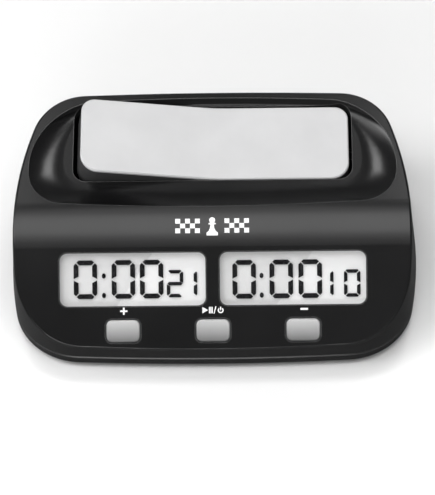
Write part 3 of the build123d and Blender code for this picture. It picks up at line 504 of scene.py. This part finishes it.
def dress_frame(materials):
    """Give every node of the frame the material of its slot."""
    for entry in frame["record"]["subparts"]:
        node = frame["nodes"][entry["node"]]
        node.data.materials.clear()
        node.data.materials.append(materials[entry["material_slot"]])
        if entry["material_slot"] == "display_glass":
            glue = node.modifiers.new("glue_line", "DISPLACE")
            glue.strength = -GLUE_LINE
            glue.mid_level = 0.0


def panel_axes():
    """Directions across, up and out of the sloping panel."""
    slope = math.radians(PANEL_SLOPE)
    up = Vector((0, math.cos(slope), math.sin(slope)))
    return Vector((1, 0, 0)), up, Vector((0, -math.sin(slope), math.cos(slope)))


def panel_origin():
    """World place of the middle of the panel's lower edge, found from the two window lenses."""
    corners = [corner for name in ("lens_left", "lens_right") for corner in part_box(name)]
    middle = sum(corners, Vector()) / len(corners)
    _, up, out = panel_axes()
    return middle - LENS_MIDDLE[0] * MM * up - LENS_MIDDLE[1] * MM * out


def panel_point(x, w, n):
    """World place of a point in millimetres across, up and out from the panel's lower edge."""
    across, up, out = panel_axes()
    return panel_origin() + (x * across + w * up + n * out) * MM


def ridge_point(x, distance, n):
    """World place of a point whose distance is measured up the panel and on round the ridge."""
    half_turn = math.radians(PANEL_SLOPE - TOP_SLOPE) / 2
    flat = PANEL_LENGTH - RIDGE_RADIUS * math.tan(half_turn)
    if distance <= flat:
        return panel_point(x, distance, n)
    angle = min((distance - flat) / RIDGE_RADIUS, 2 * half_turn)
    radius = RIDGE_RADIUS + n
    return panel_point(x, flat + radius * math.sin(angle), radius * math.cos(angle) - RIDGE_RADIUS)


def to_object(name, mesh, material):
    """Turn a finished bmesh into an object of the scene."""
    data = bpy.data.meshes.new(name)
    mesh.to_mesh(data)
    mesh.free()
    data.materials.append(material)
    piece = bpy.data.objects.new(name, data)
    bpy.context.scene.collection.objects.link(piece)
    return piece


def new_piece(name, shapes, place, levels, body, material):
    """Thin raised piece made of flat outlines, each a list of points, between two levels."""
    mesh = bmesh.new()
    for outline in shapes:
        rings = [[mesh.verts.new(place(x, y, level)) for x, y in outline] for level in levels]
        mesh.faces.new(rings[1])
        mesh.faces.new(rings[0][::-1])
        for i in range(len(outline)):
            j = (i + 1) % len(outline)
            mesh.faces.new((rings[0][i], rings[0][j], rings[1][j], rings[1][i]))
    bmesh.ops.recalc_face_normals(mesh, faces=mesh.faces)
    piece = to_object(name, mesh, material)
    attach(piece, body)


def digit_strokes(width, height, stroke, gap, corner):
    """The seven strokes of a figure as outlines, by letter, from its lower left corner."""
    middle = height / 2
    half = stroke / 2
    side = width - stroke
    slant = gap * math.sqrt(0.5)
    top = [(corner + slant, height), (width - corner - slant, height),
           (width - corner / 2 - slant, height - corner / 2), (side - slant, height - stroke),
           (stroke + slant, height - stroke), (corner / 2 + slant, height - corner / 2)]
    right = [(width - corner / 2, height - corner / 2 - slant), (width, height - corner - slant),
             (width, middle + slant), (side, middle + half + slant),
             (side, height - stroke - slant)]
    centre = [(slant, middle), (stroke + slant - half, middle + half),
              (side - slant + half, middle + half), (width - slant, middle),
              (side - slant + half, middle - half), (stroke + slant - half, middle - half)]

    def flip_x(outline):
        return [(width - x, y) for x, y in outline]

    def flip_y(outline):
        return [(x, height - y) for x, y in outline]

    return {"a": top, "b": right, "c": flip_y(right), "d": flip_y(top),
            "e": flip_y(flip_x(right)), "f": flip_x(right), "g": centre}


def figure(character, sizes, x, w):
    """The lit strokes of one figure whose lower left corner is at a place on the panel."""
    strokes = digit_strokes(**sizes)
    return [[(px + x, py + w) for px, py in strokes[letter]] for letter in STROKES[character]]


def ellipse(x, y, half_width, half_height):
    """Outline of a small ellipse."""
    turns = [2 * math.pi * i / DOT_STEPS for i in range(DOT_STEPS)]
    return [(x + half_width * math.cos(turn), y + half_height * math.sin(turn)) for turn in turns]


def display(materials, side, base, colon, large, small):
    """Lit liquid-crystal strokes of one display."""
    shapes = []
    for character, x in large:
        shapes += figure(character, LARGE_DIGIT, x, base)
    for character, x in small:
        shapes += figure(character, SMALL_DIGIT, x, base + SMALL_DIGIT_RISE)
    for rise in DOT_RISES:
        shapes.append(ellipse(colon, base + rise, *DOT_SIZE))
    new_piece("display_figures_" + side, shapes, panel_point, FIGURE_LEVELS, "case",
              materials["liquid_crystal"])


def ring_part(x, y, inner, outer, start, end):
    """Part of a ring, as a row of four-sided outlines; angles are in degrees."""
    turns = [math.radians(start + (end - start) * i / RING_STEPS) for i in range(RING_STEPS + 1)]
    return [[(x + radius * math.cos(turn), y + radius * math.sin(turn))
             for radius, turn in ((inner, a), (outer, a), (outer, b), (inner, b))]
            for a, b in zip(turns, turns[1:])]


def bar(x, y, half_width, half_height, lean=0.0):
    """Upright or flat bar, leaning to the right by the given amount at its top."""
    return [(x - half_width - lean, y - half_height), (x + half_width - lean, y - half_height),
            (x + half_width + lean, y + half_height), (x - half_width + lean, y + half_height)]


def plus_shape(x, y, reach, half):
    """Outline of a plus sign."""
    quarter = [(half, half), (half, reach), (-half, reach)]
    shape = []
    for turn in range(4):
        for px, py in quarter:
            for _ in range(turn):
                px, py = -py, px
            shape.append((x + px, y + py))
    return shape


def key_marks(materials):
    """White signs printed on the panel above the three keys."""
    start, end = PLAY_SPAN
    play = [(start, MARK_HEIGHT - PLAY_HALF_HEIGHT), (end, MARK_HEIGHT),
            (start, MARK_HEIGHT + PLAY_HALF_HEIGHT)]
    pause = [bar(x, MARK_HEIGHT, THIN_LINE, PLAY_HALF_HEIGHT) for x in PAUSE_PLACES]
    slash = bar(SLASH_X, MARK_HEIGHT, *SLASH_SIZE, SLASH_LEAN)
    ring = ring_part(POWER_X, MARK_HEIGHT - 0.1, *POWER_RING, *POWER_RING_TURN)
    line = bar(POWER_X, MARK_HEIGHT + POWER_LINE_RISE, THIN_LINE, POWER_LINE_HALF)
    marks = {
        "mark_plus": [plus_shape(*PLUS_PLACE, *PLUS_SIZE)],
        "mark_minus": [bar(*MINUS_PLACE, *MINUS_SIZE)],
        "mark_play": [play, *pause, slash, *ring, line],
    }
    for name, shapes in marks.items():
        new_piece(name, shapes, panel_point, PRINT_LEVELS, "case", materials["white_ink"])


def pawn_outline():
    """Silhouette of a pawn standing on the emblem's base line."""
    unit = PAWN_HEIGHT / 10
    sweep = 180 - 2 * PAWN_NECK_ANGLE
    turns = [math.radians(PAWN_NECK_ANGLE + i * (sweep / PAWN_HEAD_STEPS))
             for i in range(PAWN_HEAD_STEPS + 1)]
    head = [(PAWN_HEAD_RADIUS * math.cos(turn),
             PAWN_HEAD_MIDDLE + PAWN_HEAD_RADIUS * math.sin(turn)) for turn in turns]
    right = [(-x, y) for x, y in reversed(PAWN_SIDE)]
    return [(x * unit, EMBLEM_BASE + y * unit) for x, y in [*head, *PAWN_SIDE, *right]]


def emblem(materials):
    """Generic mark on the ridge: a pawn between two short chequered strips."""
    shapes = [pawn_outline()]
    for side in (-1, 1):
        for column in range(CHEQUER_COLUMNS):
            for row in range(column % 2, CHEQUER_ROWS, 2):
                x = side * (CHEQUER_START + column * CHEQUER + CHEQUER / 2)
                y = EMBLEM_BASE + CHEQUER_RISE + (row + 0.5) * CHEQUER
                shapes.append(bar(x, y, CHEQUER / 2, CHEQUER / 2))
    new_piece("ridge_emblem", shapes, ridge_point, PRINT_LEVELS, "case", materials["white_ink"])


def make_floor():
    """Pale, slightly glossy table top that curves up into a backdrop."""
    material, tree, shader = principled("pale_floor", (FLOOR_SHADE, FLOOR_SHADE, FLOOR_SHADE), 0.12)
    shader.inputs["IOR"].default_value = FLOOR_IOR
    vary_roughness(tree, shader, noise(tree, 3.0), *FLOOR_ROUGHNESS)
    profile = [(FLOOR_FRONT, 0.0), (FLOOR_BACK, 0.0)]
    for i in range(1, BEND_STEPS + 1):
        angle = math.pi / 2 * i / BEND_STEPS
        profile.append((FLOOR_BACK + BACKDROP_BEND * math.sin(angle),
                        BACKDROP_BEND - BACKDROP_BEND * math.cos(angle)))
    profile.append((FLOOR_BACK + BACKDROP_BEND, BACKDROP_TOP))
    mesh = bmesh.new()
    rows = [[mesh.verts.new((x, y, z)) for x in (-FLOOR_HALF_WIDTH, FLOOR_HALF_WIDTH)]
            for y, z in profile]
    for low, high in zip(rows, rows[1:]):
        mesh.faces.new((low[0], low[1], high[1], high[0]))
    floor = to_object("floor", mesh, material)
    for face in floor.data.polygons:
        face.use_smooth = True


def softbox(name, place, target, size, power):
    """Rectangular lamp at a place, facing a target."""
    data = bpy.data.lights.new(name, "AREA")
    data.shape = "RECTANGLE"
    data.size, data.size_y = size
    data.energy = power
    lamp = bpy.data.objects.new(name, data)
    back = (Vector(place) - Vector(target)).normalized()
    across = Vector((0, 1, 0)).cross(back).normalized()
    facing = Matrix((across, back.cross(across), back)).transposed().to_4x4()
    lamp.matrix_world = Matrix.Translation(Vector(place)) @ facing
    bpy.context.scene.collection.objects.link(lamp)


def make_lights():
    """Broad overhead softboxes, weaker fills and a pale surround."""
    for lamp in LAMPS:
        softbox(*lamp)
    world = bpy.data.worlds.new("surround")
    bpy.context.scene.world = world
    world.use_nodes = True
    world.node_tree.nodes["Background"].inputs["Color"].default_value = (1, 1, 1, 1)
    world.node_tree.nodes["Background"].inputs["Strength"].default_value = SURROUND_STRENGTH
    bpy.context.scene.view_settings.view_transform = "Standard"


def make_camera():
    """Camera in front of the clock, looking down on it with a long lens."""
    tilt = math.radians(CAMERA_ELEVATION)
    turn = math.radians(CAMERA_AZIMUTH)
    centre = (cad_box[0] + cad_box[1]) / 2
    across = Vector((math.cos(turn), math.sin(turn), 0))
    back = Vector((math.sin(turn) * math.cos(tilt), -math.cos(turn) * math.cos(tilt),
                   math.sin(tilt)))
    up = back.cross(across)
    target = centre + VIEW_SHIFT[0] * across + VIEW_SHIFT[1] * up
    data = bpy.data.cameras.new("camera")
    data.sensor_width = SENSOR_WIDTH
    data.sensor_fit = "HORIZONTAL"
    data.lens = SENSOR_WIDTH * CAMERA_DISTANCE / VIEW_WIDTH
    camera = bpy.data.objects.new("camera", data)
    facing = Matrix((across, up, back)).transposed().to_4x4()
    camera.matrix_world = (Matrix.Translation(target + back * CAMERA_DISTANCE) @ facing
                           @ Matrix.Rotation(math.radians(CAMERA_ROLL), 4, "Z"))
    bpy.context.scene.collection.objects.link(camera)
    bpy.context.scene.camera = camera


def main():
    """Dress the frame, add the printed and displayed pieces and set the stage."""
    materials = make_materials()
    dress_frame(materials)
    for looks in DISPLAYS:
        display(materials, **looks)
    key_marks(materials)
    emblem(materials)
    make_floor()
    make_lights()
    make_camera()


main()
